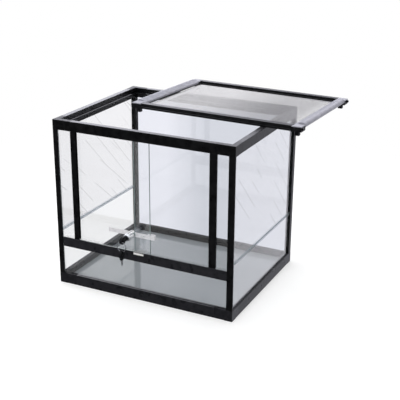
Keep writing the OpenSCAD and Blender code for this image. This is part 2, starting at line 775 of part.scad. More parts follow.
bottom_connector(false, false);  // bottom_connector_fl
bottom_connector(true, false);  // bottom_connector_fr
bottom_connector(false, true);  // bottom_connector_bl
bottom_connector(true, true);  // bottom_connector_br
top_connector(false, false);  // top_connector_fl
top_connector(true, false);  // top_connector_fr
top_connector(false, true);  // top_connector_bl
top_connector(true, true);  // top_connector_br
bottom_rail_x(false);  // bottom_rail_front
bottom_rail_x(true);  // bottom_rail_back
bottom_rail_y(false);  // bottom_rail_left
bottom_rail_y(true);  // bottom_rail_right
top_rail_front();
top_rail_back();
top_rail_y(false);  // top_rail_left
top_rail_y(true);  // top_rail_right
post(false, false);  // post_fl
post(true, false);  // post_fr
post(false, true);  // post_bl
post(true, true);  // post_br
door_sill();
upright(false);  // upright_left
upright(true);  // upright_right
sidelight(false);  // sidelight_left
sidelight(true);  // sidelight_right
lower_front_pane();
back_pane();
floor_pane();
side_pane_lower(false);  // side_pane_lower_left
side_pane_lower(true);  // side_pane_lower_right
side_pane_upper(false);  // side_pane_upper_left
side_pane_upper(true);  // side_pane_upper_right
joint_strip(false);  // joint_strip_left
joint_strip(true);  // joint_strip_right
left_door();
right_door();
left_door_shoe();
right_door_shoe();
ratchet_bar();
lock_case();
lock_plug();
key_blade();
key_grip();
key_ring();
spare_blade();
spare_grip();
lid_rail_x(false);  // lid_rail_front
lid_rail_x(true);  // lid_rail_back
lid_rail_side(false);  // lid_rail_left
lid_rail_side(true);  // lid_rail_right
lid_corner_block(false, false);  // lid_corner_fl
lid_corner_block(true, false);  // lid_corner_fr
lid_corner_block(false, true);  // lid_corner_bl
lid_corner_block(true, true);  // lid_corner_br
lid_mesh();
lid_spline();
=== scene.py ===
"""Looks of a front-opening glass terrarium, made round its packed construction.

Everything is in metres in the construction's own frame: the origin is the middle of the front
bottom rail's underside, the doors face -Y and up is +Z.
"""
import logging
import math
from dataclasses import dataclass
from enum import Enum
from typing import Iterable, Sequence

import bmesh
import bpy
from mathutils import Matrix, Vector


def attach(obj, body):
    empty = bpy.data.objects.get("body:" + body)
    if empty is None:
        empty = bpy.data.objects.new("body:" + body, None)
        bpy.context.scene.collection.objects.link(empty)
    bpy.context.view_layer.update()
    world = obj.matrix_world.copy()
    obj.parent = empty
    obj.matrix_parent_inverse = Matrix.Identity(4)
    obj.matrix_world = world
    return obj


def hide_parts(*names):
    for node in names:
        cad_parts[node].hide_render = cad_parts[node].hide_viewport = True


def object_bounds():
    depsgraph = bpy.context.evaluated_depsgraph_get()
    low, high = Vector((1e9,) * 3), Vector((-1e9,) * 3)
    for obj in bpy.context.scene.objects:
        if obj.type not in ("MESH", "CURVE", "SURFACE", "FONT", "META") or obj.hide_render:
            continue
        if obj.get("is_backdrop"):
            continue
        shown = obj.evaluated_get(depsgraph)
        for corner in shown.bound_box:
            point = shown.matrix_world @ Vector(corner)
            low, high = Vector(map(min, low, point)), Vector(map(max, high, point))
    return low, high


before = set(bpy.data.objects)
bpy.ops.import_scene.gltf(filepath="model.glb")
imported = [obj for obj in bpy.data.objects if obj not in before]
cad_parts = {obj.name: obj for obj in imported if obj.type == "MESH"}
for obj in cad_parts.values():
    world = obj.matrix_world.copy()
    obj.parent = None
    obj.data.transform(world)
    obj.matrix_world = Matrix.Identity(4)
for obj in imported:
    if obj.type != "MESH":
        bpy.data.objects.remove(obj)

CAD_BOX = [list(corner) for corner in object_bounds()]
LOG = logging.getLogger("terrarium")

Colour = tuple[float, float, float]
Place = tuple[float, float, float]
Point = tuple[float, float]
Span = tuple[float, float]
Material = bpy.types.Material
Mesh = bpy.types.Mesh
Node = bpy.types.Node
Socket = bpy.types.NodeSocket

TANK_WIDTH = 0.5
TANK_DEPTH = 0.4
TANK_HEIGHT = 0.447
# The tank stands this far behind a frame whose origin is the middle of its footprint
SET_BACK = 0.18875


class Axis(Enum):
    """A world axis that a rail, a draw line or a pane's face lies along."""

    X = 0
    Y = 1
    Z = 2


def scaled(colour: Colour, gain: float, lift: float = 0.0) -> Colour:
    """Makes a colour lighter or darker.

    Args:
        colour: the colour.
        gain: the factor on each channel.
        lift: what each channel gains besides.

    Returns:
        The new colour, at most white.
    """
    return tuple(min(1.0, channel * gain + lift) for channel in colour)


def new_object(name: str, data: bpy.types.ID) -> bpy.types.Object:
    """Adds an object to the scene.

    Args:
        name: the object's name.
        data: its mesh, lamp or camera.

    Returns:
        The object.
    """
    made = bpy.data.objects.new(name, data)
    bpy.context.scene.collection.objects.link(made)
    return made


class Tree:
    """A node tree, with short calls for the nodes that finishes, surroundings and net share."""

    def __init__(self, tree: bpy.types.NodeTree) -> None:
        """Starts with an empty tree.

        Args:
            tree: the tree to fill.
        """
        self.tree = tree
        self.tree.nodes.clear()

    def add(self, kind: str, **settings: object) -> Node:
        """Adds a node.

        Args:
            kind: the node's type.
            **settings: its attributes.

        Returns:
            The new node.
        """
        node = self.tree.nodes.new(kind)
        for name, value in settings.items():
            setattr(node, name, value)
        return node

    def feed(self, target: Socket, source: object) -> None:
        """Links a socket, or writes a plain value on it.

        Args:
            target: the input.
            source: an output socket, a number, a vector or a colour.
        """
        if isinstance(source, bpy.types.NodeSocket):
            self.tree.links.new(source, target)
        elif isinstance(source, tuple) and len(source) == 3 and target.type == "RGBA":
            target.default_value = (*source, 1.0)
        else:
            target.default_value = source

    def fill(self, node: Node, **values: object) -> Node:
        """Feeds a node's inputs by their names.

        Args:
            node: the node.
            **values: its inputs, with underscores for spaces.

        Returns:
            The same node.
        """
        for name, value in values.items():
            self.feed(node.inputs[name.replace("_", " ")], value)
        return node

    def math(self, operation: str, *values: object) -> Socket:
        """Adds a Math node.

        Args:
            operation: the node's operation.
            *values: its numbers or sockets, in the node's order.

        Returns:
            The result.
        """
        node = self.add("ShaderNodeMath", operation=operation)
        for target, value in zip(node.inputs, values):
            self.feed(target, value)
        return node.outputs[0]

    def along(self, axis: Axis, vector: Socket) -> Socket:
        """Takes one coordinate of a vector.

        Args:
            axis: which one.
            vector: the vector.

        Returns:
            The coordinate.
        """
        node = self.add("ShaderNodeSeparateXYZ")
        self.feed(node.inputs[0], vector)
        return node.outputs[axis.value]

    def spread(self, source: Socket, low: float, high: float, start: float = 0.0,
               end: float = 1.0, smooth: bool = False) -> Socket:
        """Maps a value to a range, and clamps it.

        Args:
            source: the value.
            low: the result at start.
            high: the result at end.
            start: where the range starts.
            end: where the range ends.
            smooth: whether it eases in and out.

        Returns:
            The mapped value.
        """
        node = self.add("ShaderNodeMapRange")
        if smooth:
            node.interpolation_type = "SMOOTHSTEP"
        self.fill(node, Value=source, From_Min=start, From_Max=end, To_Min=low, To_Max=high)
        return node.outputs["Result"]

    def blend(self, share: object, first: object, second: object) -> Socket:
        """Mixes two colours.

        Args:
            share: how much of the second.
            first: a colour or socket.
            second: a colour or socket.

        Returns:
            The mixed colour.
        """
        node = self.add("ShaderNodeMix", data_type="RGBA")
        for name, value in (("Factor_Float", share), ("A_Color", first), ("B_Color", second)):
            self.feed(next(i for i in node.inputs if i.identifier == name), value)
        return next(o for o in node.outputs if o.identifier == "Result_Color")


class Shader(Tree):
    """A material's node tree."""

    def __init__(self, name: str) -> None:
        """Starts an empty material.

        Args:
            name: the material's name.
        """
        self.material = bpy.data.materials.new(name)
        self.material.use_nodes = True
        super().__init__(self.material.node_tree)
        self.coordinates = self.add("ShaderNodeTexCoord").outputs["Object"]

    def place(self, axis: Axis) -> Socket:
        """Says where a spot of the surface is.

        Args:
            axis: the axis that counts.

        Returns:
            The coordinate in the object's own space.
        """
        return self.along(axis, self.coordinates)

    def facing(self, axis: Axis) -> Socket:
        """Says how a spot of the surface faces.

        Args:
            axis: the axis that counts.

        Returns:
            The face normal's part along that axis.
        """
        return self.along(axis, self.add("ShaderNodeNewGeometry").outputs["True Normal"])

    def stretched(self, scale: Sequence[float]) -> Socket:
        """Stretches the object's coordinates.

        Args:
            scale: the factor along each axis.

        Returns:
            The vector.
        """
        node = self.add("ShaderNodeMapping")
        return self.fill(node, Vector=self.coordinates, Scale=tuple(scale)).outputs["Vector"]

    def noise(self, scale: float, detail: float, vector: Socket | None = None) -> Socket:
        """Adds a noise pattern in the object's own space.

        Args:
            scale: waves per metre.
            detail: octaves.
            vector: other coordinates than the object's own.

        Returns:
            The pattern, from 0 to 1.
        """
        node = self.add("ShaderNodeTexNoise")
        self.fill(node, Vector=vector or self.coordinates, Scale=scale, Detail=detail)
        return node.outputs["Fac"]

    def bump(self, height: Socket, depth: float, strength: float) -> Socket:
        """Turns a pattern into a surface's relief.

        Args:
            height: the pattern.
            depth: its height, in metres.
            strength: how much of it shows.

        Returns:
            The normal.
        """
        node = self.add("ShaderNodeBump")
        return self.fill(node, Distance=depth, Strength=strength, Height=height).outputs["Normal"]

    def principled(self, **values: object) -> Socket:
        """Adds a Principled shader.

        Args:
            **values: its inputs, with underscores for spaces.

        Returns:
            The shader.
        """
        return self.fill(self.add("ShaderNodeBsdfPrincipled"), **values).outputs[0]

    def transparent(self, **values: object) -> Socket:
        """Adds a Transparent shader.

        Args:
            **values: its colour, unless it is white.

        Returns:
            The shader.
        """
        return self.fill(self.add("ShaderNodeBsdfTransparent"), **values).outputs[0]

    def mix(self, share: Socket, first: Socket, second: Socket) -> Socket:
        """Mixes two shaders.

        Args:
            share: how much of the second.
            first: a shader.
            second: a shader.

        Returns:
            The mixed shader.
        """
        node = self.add("ShaderNodeMixShader")
        for target, source in zip(node.inputs, (share, first, second)):
            self.feed(target, source)
        return node.outputs[0]

    def close(self, surface: Socket) -> Material:
        """Ends the tree.

        Args:
            surface: the shader that the surface shows.

        Returns:
            The material.
        """
        self.fill(self.add("ShaderNodeOutputMaterial"), Surface=surface)
        return self.material


@dataclass(frozen=True)
class Finish:
    """What a piece is made of. Each kind of finish shades its surface in its own way."""

    name: str

    def surface(self, shader: Shader) -> Socket:
        """Adds the nodes of the surface.

        Args:
            shader: the material's tree.

        Returns:
            The shader that the surface shows.
        """
        raise NotImplementedError

    def build(self) -> Material:
        """Makes the material.

        Returns:
            The material.
        """
        shader = Shader(self.name)
        return shader.close(self.surface(shader))


@dataclass(frozen=True)
class Extruded(Finish):
    """Black or grey profile, with faint draw lines along its length and a cloudy sheen.

    A pale layer on the upward faces, if it has one, is partly dust and partly painted
    light, and it thins out to the right as painted light from the left.
    """

    colour: Colour
    axis: Axis
    roughness: float = 0.3
    specular: float = 0.16
    sheen_scale: float = 60.0
    grain_scale: float = 2600.0
    line_scale: float = 900.0
    line_stretch: float = 6.0
    line_depth: float = 0.00004
    # painted light with some dust: a pale layer on the upward faces, strongest on the left
    top_light_and_dust: float = 0.0
    top_light_colour: Colour = (0.3, 0.3, 0.325)
    top_light_rise: Span = (0.7, 0.95)
    left_light_fade: Span = (-0.2, 0.2)
    left_light_least: float = 0.15

    def surface(self, shader: Shader) -> Socket:
        """See Finish."""
        stretch = [self.line_scale] * 3
        stretch[self.axis.value] = self.line_stretch
        lines = shader.noise(1.0, 2.0, shader.stretched(stretch))
        clouds = shader.noise(self.sheen_scale, 3.0)
        grain = shader.noise(self.grain_scale, 1.0)
        lighter = scaled(self.colour, 1.35, 0.004)
        tone = shader.blend(shader.spread(clouds, 0.0, 1.0, 0.35, 0.7), self.colour, lighter)
        cloudy = shader.spread(clouds, -0.05, 0.06, 0.3, 0.7)
        rough = shader.math("ADD", cloudy, shader.spread(grain, -0.03, 0.03))
        # painted light: the upward faces are lightened, most on the left, as if lit from above and
        # the left
        if self.top_light_and_dust:
            flat = shader.spread(shader.facing(Axis.Z), 0.0, self.top_light_and_dust, *self.top_light_rise)
            left = shader.spread(shader.place(Axis.X), 1.0, self.left_light_least, *self.left_light_fade)
            tone = shader.blend(shader.math("MULTIPLY", flat, left), tone, self.top_light_colour)
        return shader.principled(
            Base_Color=tone, Roughness=shader.math("ADD", rough, self.roughness),
            Specular_IOR_Level=self.specular, Normal=shader.bump(lines, self.line_depth, 0.35))


@dataclass(frozen=True)
class Moulded(Finish):
    """Injection-moulded plastic with a fine spark-eroded grain and worn, lighter high spots."""

    colour: Colour
    roughness: float = 0.42
    specular: float = 0.3
    cloud_scale: float = 85.0
    grain_scale: float = 1400.0
    grain_depth: float = 0.00006
    wear: float = 1.5

    def surface(self, shader: Shader) -> Socket:
        """See Finish."""
        grain = shader.noise(self.grain_scale, 2.0)
        clouds = shader.noise(self.cloud_scale, 3.0)
        worn = scaled(self.colour, self.wear, 0.004)
        shares = shader.spread(clouds, 0.0, 1.0, 0.45, 0.75)
        smooth, rough = self.roughness - 0.06, self.roughness + 0.08
        return shader.principled(
            Base_Color=shader.blend(shares, self.colour, worn),
            Roughness=shader.spread(clouds, smooth, rough, 0.3, 0.7),
            Specular_IOR_Level=self.specular, Normal=shader.bump(grain, self.grain_depth, 0.5))


@dataclass(frozen=True)
class Plated(Finish):
    """Bright plated or nickelled metal with fine polishing marks."""

    colour: Colour
    roughness: float = 0.3
    metallic: float = 1.0
    smear_scale: float = 160.0
    mark_scale: tuple[float, float, float] = (1500.0, 120.0, 1500.0)
    mark_depth: float = 0.00002

    def surface(self, shader: Shader) -> Socket:
        """See Finish."""
        marks = shader.noise(1.0, 2.0, shader.stretched(self.mark_scale))
        smears = shader.noise(self.smear_scale, 3.0)
        smeared = shader.spread(smears, 0.0, 1.0, 0.4, 0.75)
        return shader.principled(
            Base_Color=shader.blend(smeared, self.colour, scaled(self.colour, 0.8)),
            Metallic=self.metallic,
            Roughness=shader.spread(smears, self.roughness * 0.6, self.roughness * 1.8, 0.3, 0.7),
            Normal=shader.bump(marks, self.mark_depth, 0.3))


@dataclass(frozen=True)
class ReflectionLines:
    """A family of slanting lines of painted reflection across a side pane.

    Each line falls by `fall` for each metre towards the back, the next one is `pitch` higher, and
    `shift` lowers them all.
    """

    fall: float
    pitch: float
    shift: float


@dataclass(frozen=True)
class FloatGlass(Finish):
    """Clear glass: ground, greenish edges, a trace of dust, lamps shine through it, and painted
    shade darkens it along X if it has a second tint.
    """

    facing: Axis
    tint: Colour
    shaded_tint: Colour | None = None
    shade_span: Span = (0.0, 1.0)
    edge: Colour = (0.20, 0.29, 0.29)
    shade: Colour = (0.93, 0.94, 0.94)
    smear_scale: float = 14.0
    smear_haze: float = 0.015
    dust_scale: float = 900.0
    dust_haze: float = 0.01
    ior: float = 1.48
    edge_below: float = 0.9
    reflections: tuple[ReflectionLines, ...] = ()
    reflection_half: float = 0.0032
    reflection_bend: float = 0.006
    reflection_tone: float = 0.8
    reflection_patches: float = 0.42

    def reflected(self, shader: Shader, tone: object) -> object:
        """Draws the lines of painted reflection, in patches.

        Args:
            shader: the material's tree.
            tone: the pane's colour or socket.

        Returns:
            The colour with the lines in it.
        """
        if not self.reflections:
            return tone
        # painted reflection: slanting lines, darker than the pane, in patches
        bent = shader.spread(shader.noise(4.0, 1.0), -self.reflection_bend, self.reflection_bend)
        darker = scaled(self.tint, self.reflection_tone)
        back, up = shader.place(Axis.Y), shader.place(Axis.Z)
        for reflection in self.reflections:
            level = shader.math("ADD", shader.math("MULTIPLY_ADD", back, reflection.fall, up), bent)
            across = shader.math("DIVIDE", shader.math("ADD", level, reflection.shift), reflection.pitch)
            middle = shader.math("SUBTRACT", shader.math("FRACT", across), 0.5)
            half = self.reflection_half / reflection.pitch
            line = shader.spread(shader.math("ABSOLUTE", middle), 1.0, 0.0, 0.0, half)
            patch = shader.noise(self.reflection_patches / reflection.pitch, 0.0)
            share = shader.math("MULTIPLY", line, shader.spread(patch, 0.0, 1.0, 0.5, 0.54))
            tone = shader.blend(share, tone, darker)
        return tone

    def surface(self, shader: Shader) -> Socket:
        """See Finish."""
        tone: object = self.tint
        # painted shade: the pane darkens along X towards the second tint
        if self.shaded_tint:
            share = shader.spread(shader.place(Axis.X), 0.0, 1.0, *self.shade_span)
            tone = shader.blend(share, self.tint, self.shaded_tint)
        smears = shader.noise(self.smear_scale, 4.0)
        smears = shader.spread(smears, 0.0, self.smear_haze, 0.55, 0.8)
        dust = shader.spread(shader.noise(self.dust_scale, 2.0), 0.0, self.dust_haze, 0.7, 0.8)
        face = shader.principled(
            Base_Color=self.reflected(shader, tone), Transmission_Weight=1.0, IOR=self.ior,
            Roughness=shader.math("MAXIMUM", smears, dust))
        ground = shader.principled(
            Base_Color=self.edge, Transmission_Weight=0.35, IOR=self.ior, Roughness=0.28)
        flatness = shader.math("ABSOLUTE", shader.facing(self.facing))
        glass = shader.mix(shader.math("LESS_THAN", flatness, self.edge_below), face, ground)
        rays = shader.add("ShaderNodeLightPath").outputs
        lamps = shader.math("MAXIMUM", rays["Is Shadow Ray"], rays["Is Diffuse Ray"])
        return shader.mix(lamps, glass, shader.transparent(Color=self.shade))


@dataclass(frozen=True)
class ClearPlastic(Finish):
    """Thin clear plastic with a soft shine, and a greyer seam at one height if it has one."""

    tint: Colour = (0.95, 0.955, 0.965)
    skin: Colour = (0.85, 0.86, 0.88)
    shine: float = 0.05
    seam: Colour = (0.74, 0.75, 0.78)
    seam_at: float = -1.0
    seam_half: float = 0.0007
    seam_shine: float = 0.12

    def surface(self, shader: Shader) -> Socket:
        """See Finish."""
        away = shader.math("SUBTRACT", shader.place(Axis.Z), self.seam_at)
        share = shader.spread(
            shader.math("ABSOLUTE", away), 1.0, 0.0, self.seam_half * 0.8, self.seam_half * 1.2)
        clear = shader.transparent(Color=shader.blend(share, self.tint, self.seam))
        skin = shader.principled(
            Base_Color=self.skin, Roughness=shader.spread(shader.noise(300.0, 2.0), 0.12, 0.25))
        shine = shader.math("ADD", self.shine, shader.math("MULTIPLY", share, self.seam_shine))
        return shader.mix(shine, clear, skin)


@dataclass(frozen=True)
class ShoePlastic(Finish):
    """Thin moulded plastic that is clear above one height and milky white below it."""

    white_below: float
    milk: Colour = (0.9, 0.9, 0.89)
    clear_share: float = 0.88
    change: float = 0.0004

    def surface(self, shader: Shader) -> Socket:
        """See Finish."""
        above = shader.spread(
            shader.place(Axis.Z), 0.0, self.clear_share,
            self.white_below, self.white_below + self.change)
        milk = shader.principled(
            Base_Color=self.milk, Roughness=shader.spread(shader.noise(400.0, 2.0), 0.3, 0.5))
        return shader.mix(above, milk, shader.transparent())


@dataclass(frozen=True)
class ShadedFloorGlass(Finish):
    """Floor glass in a grey that is painted shade of the ground under it, with smears and a little
    dust.
    """

    # painted shade: the grey stands for the shadowed ground seen through the floor glass
    colour: Colour = (0.275, 0.295, 0.315)
    roughness: float = 0.1

    def surface(self, shader: Shader) -> Socket:
        """See Finish."""
        clouds = shader.spread(shader.noise(7.0, 3.0), 0.0, 1.0, 0.35, 0.7)
        dust = shader.spread(shader.noise(420.0, 3.0), -0.03, 0.06, 0.4, 0.8)
        return shader.principled(
            Base_Color=shader.blend(clouds, self.colour, scaled(self.colour, 1.12)),
            Roughness=shader.math("ADD", dust, self.roughness),
            Specular_IOR_Level=0.5, Coat_Weight=0.6, Coat_Roughness=0.05)


@dataclass(frozen=True)
class Wire(Finish):
    """Drawn aluminium wire with a dull skin, and painted shade that darkens it towards the lid's
    right.
    """

    colour: Colour = (0.78, 0.765, 0.775)
    shaded_colour: Colour = (0.47, 0.46, 0.475)
    shade_span: Span = (0.04, 0.2)
    dirt: Colour = (0.1, 0.1, 0.1)

    def surface(self, shader: Shader) -> Socket:
        """See Finish."""
        skin = shader.noise(300.0, 2.0)
        # painted shade: the wire darkens towards the lid's right
        fade = shader.spread(shader.place(Axis.X), 0.0, 1.0, *self.shade_span)
        base = shader.blend(fade, self.colour, self.shaded_colour)
        darker = shader.blend(0.25, base, self.dirt)
        return shader.principled(
            Base_Color=shader.blend(shader.spread(skin, 0.0, 1.0, 0.35, 0.7), base, darker),
            Metallic=0.25, Roughness=shader.spread(skin, 0.3, 0.48, 0.3, 0.7))


def dress(finish: Material, *nodes: str) -> None:
    """Gives construction nodes their finish.

    Args:
        finish: the material.
        *nodes: the nodes' names.
    """
    for node in nodes:
        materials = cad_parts[node].data.materials
        materials.clear()
        materials.append(finish)
        LOG.info("dressed %s with %s", node, finish.name)


def add_piece(mesh: Mesh, body: str, replaced: Iterable[str] = ()) -> None:
    """Adds a finished piece, named like its mesh, and lets it ride.

    Args:
        mesh: its mesh, in place.
        body: the body that carries it.
        replaced: the construction nodes that it stands for.
    """
    piece = new_object(mesh.name, mesh)
    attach(piece, body)
    if replaced:
        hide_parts(*replaced)
    LOG.info("made %s: %d faces on %s", piece.name, len(mesh.polygons), body)


def bevelled_bar(name: str, section: Sequence[Point], span: Span, finish: Material,
                 along: Axis = Axis.X, bevel: float = 0.0002) -> Mesh:
    """Makes a bar from its outline, with slightly rounded edges.

    Args:
        name: the mesh's name.
        section: the outline's points, as Y and Z for a bar along X, or X and Y for one along Z.
        span: where the bar starts and ends.
        finish: its material.
        along: the axis it lies along.
        bevel: the rounding of its edges.

    Returns:
        The mesh.
    """
    def corner(at: float, point: Point) -> list[float]:
        """Places a point of the outline at one end of the bar."""
        place = list(point)
        place.insert(along.value, at)
        return place

    bar = bmesh.new()
    low, high = ([bar.verts.new(corner(at, point)) for point in section] for at in span)
    bar.faces.new(low)
    bar.faces.new(list(reversed(high)))
    for here in range(len(section)):
        there = (here + 1) % len(section)
        bar.faces.new((low[here], high[here], high[there], low[there]))
    bmesh.ops.recalc_face_normals(bar, faces=bar.faces)
    bmesh.ops.bevel(
        bar, geom=list(bar.edges), offset=bevel, segments=2, affect="EDGES", clamp_overlap=True)
    mesh = bpy.data.meshes.new(name)
    bar.to_mesh(mesh)
    bar.free()
    mesh.materials.append(finish)
    return mesh


@dataclass(frozen=True)
class Lamp:
    """A square soft lamp, by its place, the length of its side and its power in watts."""

    name: str
    place: Place
    size: float
    power: float


@dataclass
class Studio:
    """Camera, floor, lamps and surroundings."""

    camera_at: Place = (1.0051, -1.9373 + SET_BACK, 1.0365)
    azimuth: float = 25.92
    elevation: float = 20.79
    roll: float = 0.46
    lens: float = 78.99
    sensor: float = 36.0
    clip: Span = (0.01, 100.0)
    floor_radius: float = 1.5
    floor_tones: tuple[Colour, Colour] = ((0.62, 0.62, 0.63), (0.64, 0.64, 0.64))
    floor_glow: float = 0.5
    floor_edge: Span = (0.6, 1.1)
    ambient: float = 0.5
    front_level: float = 0.14
    front_hue: Colour = (0.92, 0.96, 1.04)
    front_top: float = 1.3
    front_top_span: Span = (0.0, 0.3)
    deep_level: float = 0.08
    deep_span: Span = (-0.85, -0.6)
    rear_hue: Colour = (0.95, 0.95, 1.05)
    rear_span: Span = (-0.3, 0.4)
    ground_levels: Span = (0.9, 0.84)
    ground_span: Span = (-0.5, -0.26)
    sky_gain: float = 1.5
    sky_span: Span = (-0.02, 0.22)
    lamp_target: Place = (0, SET_BACK, 0.2)
    lamps: tuple[Lamp, ...] = (
        Lamp("lamp_above", (-0.5, 0.9, 2.4), 2.2, 34.0),
        Lamp("lamp_right", (2.4, 0.2, 1.3), 1.6, 6.0),
        Lamp("lamp_left", (-2.4, 0.2, 1.5), 1.6, 20.0),
        Lamp("lamp_front", (0.3, -2.8, 1.5), 1.4, 26.0),
    )

    def make_camera(self) -> None:
        """Sets up the camera at the photograph's angle."""
        data = bpy.data.cameras.new("camera")
        data.lens = self.lens
        data.sensor_width = self.sensor
        data.clip_start, data.clip_end = self.clip
        camera = new_object("camera", data)
        a, e, r = (math.radians(v) for v in (self.azimuth, self.elevation, self.roll))
        back = Vector((math.sin(a) * math.cos(e), -math.cos(a) * math.cos(e), math.sin(e)))
        right = Vector((0, 0, 1)).cross(back).normalized()
        up = back.cross(right)
        turned = math.cos(r) * right + math.sin(r) * up
        upright = -math.sin(r) * right + math.cos(r) * up
        turn = Matrix((turned, upright, back)).transposed().to_4x4()
        camera.matrix_world = Matrix.Translation(self.camera_at) @ turn
        bpy.context.scene.camera = camera

    def make_floor(self) -> None:
        """Lays the pale floor, which fades into the white surroundings."""
        mesh = bpy.data.meshes.new("floor")
        solid, reach = (self.floor_radius * share for share in self.floor_edge)
        corners = [(x * reach, y * reach, 0) for x, y in ((-1, -1), (1, -1), (1, 1), (-1, 1))]
        mesh.from_pydata(corners, [], [(0, 1, 2, 3)])
        shader = Shader("floor_paper")
        tone = shader.blend(shader.noise(3.0, 3.0), *self.floor_tones)
        paper = shader.fill(shader.add("ShaderNodeBsdfDiffuse"), Color=tone)
        rays = shader.add("ShaderNodeLightPath").outputs
        strength = shader.math("MULTIPLY", rays["Is Camera Ray"], self.floor_glow)
        glow = shader.fill(shader.add("ShaderNodeEmission"), Strength=strength)
        lit = shader.add("ShaderNodeAddShader")
        for target, source in zip(lit.inputs, (paper, glow)):
            shader.feed(target, source.outputs[0])
        white = shader.add("ShaderNodeEmission").outputs[0]
        seen = shader.mix(rays["Is Transmission Ray"], lit.outputs[0], white)
        distance = shader.add("ShaderNodeVectorMath", operation="LENGTH")
        shader.feed(distance.inputs[0], shader.coordinates)
        fade = shader.spread(distance.outputs["Value"], 0.0, 1.0, solid, self.floor_radius)
        mesh.materials.append(shader.close(shader.mix(fade, seen, shader.transparent())))
        floor = new_object("floor", mesh)
        floor.visible_glossy = False
        floor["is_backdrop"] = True

    def mirrored(self, sky: Tree, forward: Socket, up: Socket, behind: Socket) -> Socket:
        """Works out the brightness that shiny surfaces mirror, from the direction.

        Args:
            sky: the world's tree.
            forward: one minus behind.
            up: the direction's part along Z.
            behind: how far the direction points to the back, from 0 to 1.

        Returns:
            The brightness.
        """
        overhead = sky.spread(up, 0.0, 1.0, *self.sky_span, smooth=True)
        ground = sky.spread(up, *self.ground_levels, *self.ground_span, smooth=True)
        bright = sky.math("ADD", ground, sky.math("MULTIPLY", overhead, self.sky_gain))
        high = sky.spread(up, 0.0, self.front_top, *self.front_top_span, smooth=True)
        deep = sky.spread(up, self.deep_level, 1.0, *self.deep_span, smooth=True)
        front = sky.math("ADD", self.front_level, sky.math("MULTIPLY", high, forward))
        front = sky.math("MULTIPLY", deep, front)
        return sky.math("ADD", front, sky.math("MULTIPLY", behind, bright))

    def make_surroundings(self) -> None:
        """Makes a world that is white to look at and softer as light."""
        world = bpy.data.worlds.new("studio")
        bpy.context.scene.world = world
        world.use_nodes = True
        sky = Tree(world.node_tree)
        rays = sky.add("ShaderNodeLightPath").outputs
        direction = sky.add("ShaderNodeTexCoord").outputs["Generated"]
        behind = sky.spread(
            sky.along(Axis.Y, direction), 0.0, 1.0, *self.rear_span, smooth=True)
        forward = sky.math("SUBTRACT", 1.0, behind)
        mirrored = self.mirrored(sky, forward, sky.along(Axis.Z, direction), behind)
        seen = sky.math("MAXIMUM", rays["Is Camera Ray"], rays["Is Transmission Ray"])
        unseen = sky.math("SUBTRACT", 1.0, seen)
        glossy = sky.math("MULTIPLY", rays["Is Glossy Ray"], unseen)
        level = sky.math("ADD", seen, sky.math("MULTIPLY", glossy, mirrored))
        rest = sky.math("SUBTRACT", unseen, glossy)
        level = sky.math("ADD", level, sky.math("MULTIPLY", rest, self.ambient))
        hue = sky.blend(
            sky.math("MULTIPLY", glossy, forward), (1.0, 1.0, 1.0), self.front_hue)
        hue = sky.blend(sky.math("MULTIPLY", glossy, behind), hue, self.rear_hue)
        light = sky.fill(sky.add("ShaderNodeBackground"), Color=hue, Strength=level)
        sky.fill(sky.add("ShaderNodeOutputWorld"), Surface=light.outputs[0])

    def make_lamps(self) -> None:
        """Hangs the soft lamps."""
        for lamp in self.lamps:
            data = bpy.data.lights.new(lamp.name, "AREA")
            data.shape, data.size, data.energy = "SQUARE", lamp.size, lamp.power
            light = new_object(lamp.name, data)
            light.location = lamp.place
            light.rotation_mode = "QUATERNION"
            aim = Vector(self.lamp_target) - light.location
            light.rotation_quaternion = aim.to_track_quat("-Z", "Y")
            light.visible_glossy = False

    def build(self) -> None:
        """Sets the whole studio up."""
        bpy.context.scene.view_settings.view_transform = "Standard"
        self.make_camera()
        self.make_floor()
        self.make_surroundings()
        self.make_lamps()


@dataclass(frozen=True)
class SillSection:
    """Section of the door sill, by heights, and by distances from the frame's front face."""

    low: float = 0.1065
    seam: float = 0.1242
    top: float = 0.132
    chamfer: float = 0.0008
    lip: float = 0.0031
    pane_groove: Span = (0.0037, 0.0083)
    groove_depth: float = 0.0081
    front_slot: Span = (0.0034, 0.0087)
    rear_slot: Span = (0.0114, 0.0167)
    slot_depth: float = 0.005
    depth: float = 0.0186
    fit: float = 0.0001

    def cover(self, face: float) -> list[Point]:
        """Outlines the black profile in front and below, with its groove for the lower pane.

        Args:
            face: the front face's place along Y.

        Returns:
            The outline, as Y and Z.
        """
        near, far = (face + at for at in self.pane_groove)
        inside, lip, chamfer = face + self.depth, face + self.lip, face + self.chamfer
        bottom, roof = self.low, self.low + self.groove_depth
        return [
            (face, bottom + self.chamfer), (chamfer, bottom), (near, bottom), (near, roof),
            (far, roof), (far, bottom), (inside, bottom), (inside, self.seam), (lip, self.seam),
            (lip, self.top), (chamfer, self.top), (face, self.top - self.chamfer)]

    def track(self, face: float) -> list[Point]:
        """Outlines the clear track behind the lip, with a slot for each door.

        Args:
            face: the front face's place along Y.

        Returns:
            The outline, as Y and Z.
        """
        front, rib = (face + at for at in self.front_slot)
        rib_back, rear = (face + at for at in self.rear_slot)
        inside, under, floor = face + self.depth, self.seam + self.fit, self.top - self.slot_depth
        return [
            (front, under), (inside, under), (inside, self.top), (rear, self.top), (rear, floor),
            (rib_back, floor), (rib_back, self.top), (rib, self.top), (rib, floor),
            (front, floor)]


